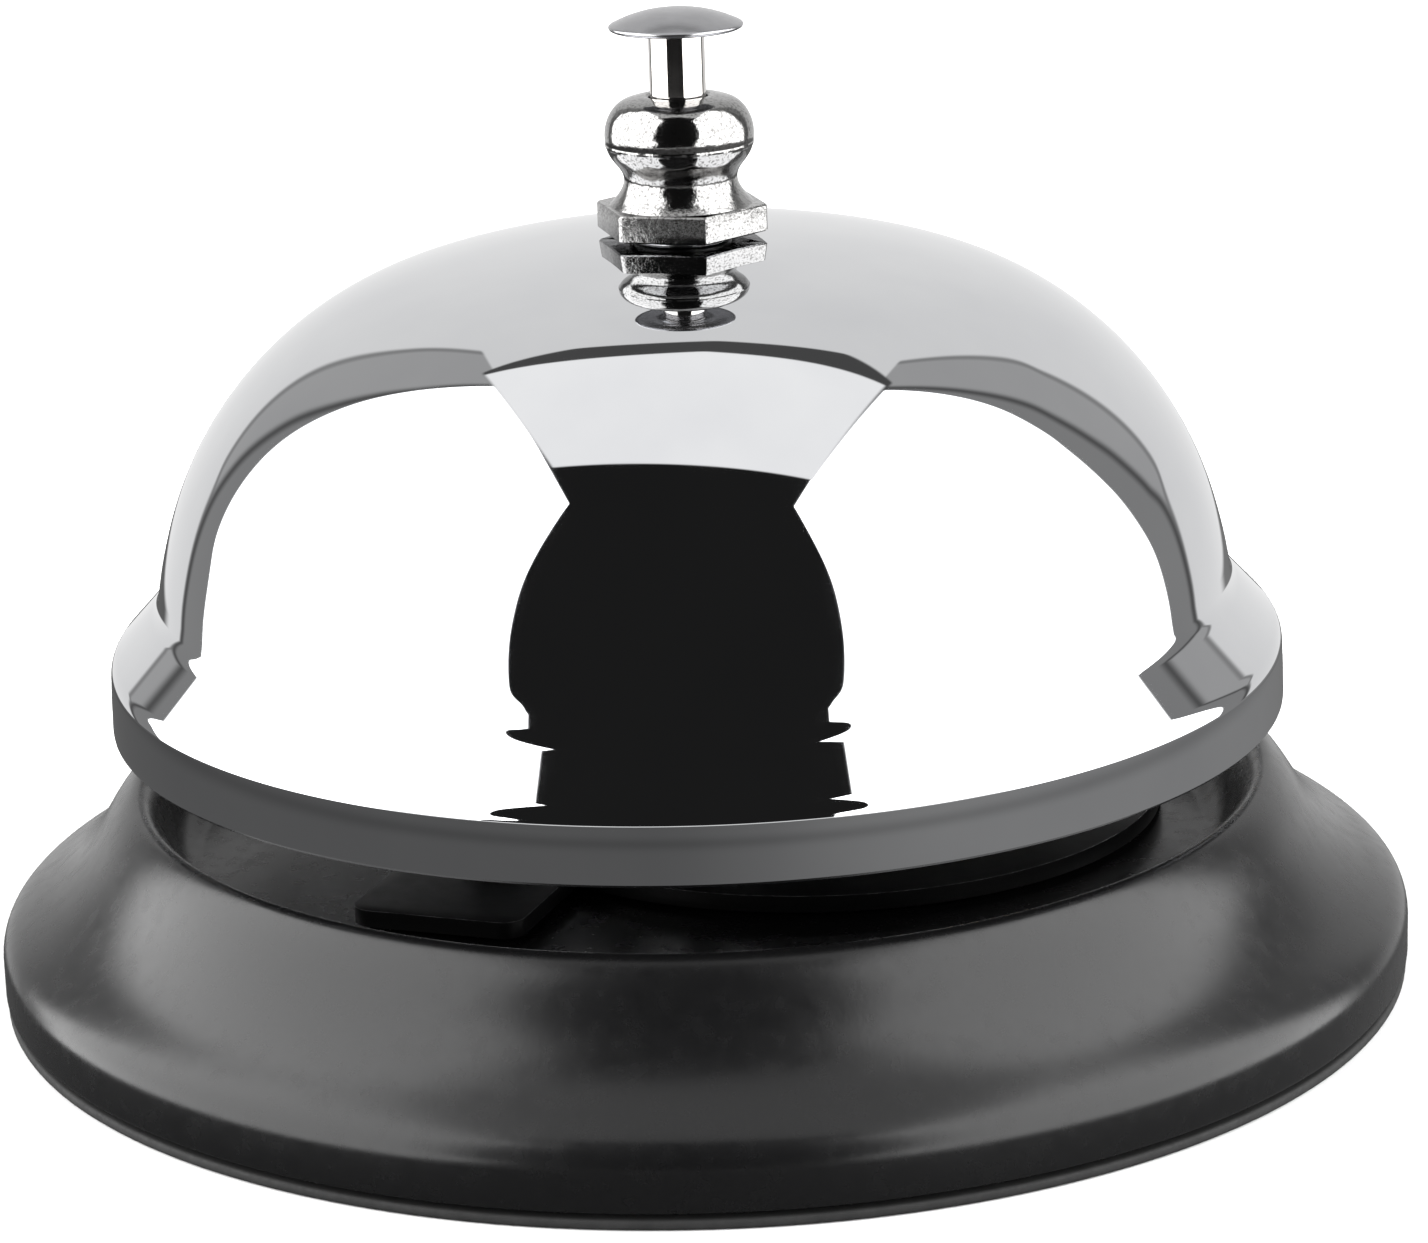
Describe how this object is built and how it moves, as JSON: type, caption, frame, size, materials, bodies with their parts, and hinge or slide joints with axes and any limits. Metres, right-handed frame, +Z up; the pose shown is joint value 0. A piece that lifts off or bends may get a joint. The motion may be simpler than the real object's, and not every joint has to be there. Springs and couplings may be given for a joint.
{
  "type": "service bell",
  "caption": "Desk service bell: chromed dome gong on a black round base, rung by a sprung plunger that tips a hammer lever inside.",
  "frame": {"origin": "centre of the foot ring's underside, on the bell's axis", "axes": "+Z up along the plunger, -Y the front, +X to the right seen from the front"},
  "size_m": [0.085, 0.085, 0.058],
  "materials": {
    "base_black": "satin powder coat",
    "foot_rubber": "matte",
    "plate_black": "gloss enamel",
    "rivet_steel": "satin",
    "post_steel": "turned",
    "washer_zinc": "zinc plated",
    "lock_nut_zinc": "zinc plated",
    "seat_steel": "stamped",
    "fibre_red_brown": "pressed fibre",
    "bell_chrome": "mirror",
    "nut_plating": "plated casting",
    "cap_chrome": "satin",
    "rod_steel": "polished",
    "clip_steel": "sprung steel",
    "spring_steel": "drawn wire",
    "lever_steel": "stamped",
    "hammer_brass": "turned",
    "hammer_rivet_steel": "plain",
    "pin_steel": "ground"
  },
  "bodies": {
    "base": {"base_shell": "base_black", "foot_ring": "foot_rubber", "striker_plate": "plate_black", "plate_rivet_tab": "rivet_steel", "plate_rivet_side": "rivet_steel", "plate_rivet_rear": "rivet_steel", "post": "post_steel", "post_washer": "washer_zinc", "post_lock_nut": "lock_nut_zinc", "seat_washer": "seat_steel", "fibre_washer": "fibre_red_brown", "bell_dome": "bell_chrome", "finial_nut": "nut_plating", "return_spring": "spring_steel", "pivot_pin": "pin_steel", "pin_clip": "clip_steel"},
    "plunger": {"plunger_cap": "cap_chrome", "plunger_rod": "rod_steel", "rod_clip": "clip_steel"},
    "hammer": {"hammer_lever": "lever_steel", "hammer_head": "hammer_brass", "hammer_rivet": "hammer_rivet_steel"}
  },
  "joints": [
    {"name": "plunger_press", "type": "slide", "parent": "base", "child": "plunger", "axis": [0, 0, -1], "range_m": [0, 0.003], "stiffness_N_per_m": 120, "springref_m": -0.002, "deforming": ["return_spring"]},
    {"name": "hammer_swing", "type": "hinge", "parent": "base", "child": "hammer", "pos_m": [0.0045, 0.00779, 0.013], "axis": [0.866, -0.5, 0], "range_deg": [0, 19.2]}
  ],
  "couplings": [
    {"joint": "hammer_swing", "follows": "plunger_press", "rad_per_m": 111.11}
  ]
}
